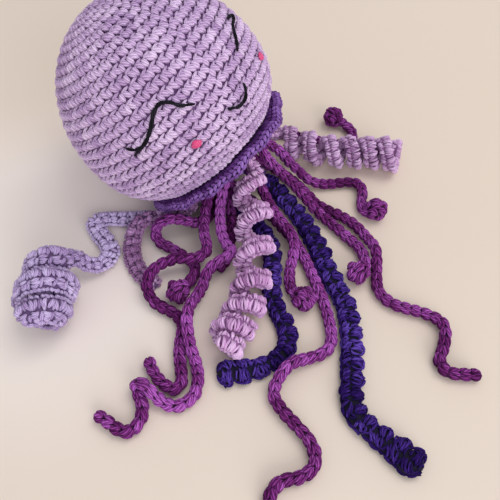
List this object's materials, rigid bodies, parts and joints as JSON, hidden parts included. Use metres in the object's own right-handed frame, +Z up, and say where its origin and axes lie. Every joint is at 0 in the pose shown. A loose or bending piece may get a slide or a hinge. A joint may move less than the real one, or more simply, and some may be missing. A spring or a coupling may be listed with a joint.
{
  "type": "plush jellyfish",
  "caption": "Crocheted toy jellyfish lying on a table: round stuffed head with a stitched sleeping face, a frill round the base, and plain, curly and ruffled tentacles spread out.",
  "frame": {"origin": "middle of the footprint, on the table that the toy lies on", "axes": "+Z up, +Y away from the viewer along the toy's longest side, +X to the viewer's right; the head lies at the far left and the tentacles spread to the near right"},
  "size_m": [0.2075, 0.2345, 0.1043],
  "materials": {
    "lilac_yarn": "matt yarn, lilac with darker hollows",
    "white_fibre": "loose fibre filling",
    "violet_yarn": "matt yarn, violet",
    "plum_yarn": "matt yarn, plum running into magenta",
    "pale_lilac_yarn": "matt yarn, pale pinkish lilac",
    "indigo_yarn": "matt yarn, indigo",
    "black_thread": "black embroidery thread",
    "pink_thread": "pink embroidery thread"
  },
  "bodies": {
    "root": {"head_shell": "lilac_yarn", "head_filling": "white_fibre", "base_disc": "violet_yarn", "collar_frill": "violet_yarn", "left_eye": "black_thread", "left_eye_lash": "black_thread", "right_eye": "black_thread", "smile": "black_thread", "left_cheek": "pink_thread", "right_cheek": "pink_thread", "plain_tentacle_1": "plum_yarn", "plain_tentacle_2": "plum_yarn", "plain_tentacle_3": "plum_yarn", "plain_tentacle_4": "plum_yarn", "plain_tentacle_5": "plum_yarn", "plain_tentacle_6": "plum_yarn", "plain_tentacle_7": "plum_yarn", "plain_tentacle_8": "plum_yarn", "plain_tentacle_9": "plum_yarn", "plain_tentacle_10": "plum_yarn", "curly_tentacle_left": "pale_lilac_yarn", "curly_tentacle_middle": "pale_lilac_yarn", "curly_tentacle_right": "pale_lilac_yarn", "curly_tentacle_short": "pale_lilac_yarn", "ruffled_tentacle_left": "indigo_yarn", "ruffled_tentacle_right": "indigo_yarn"}
  },
  "joints": []
}
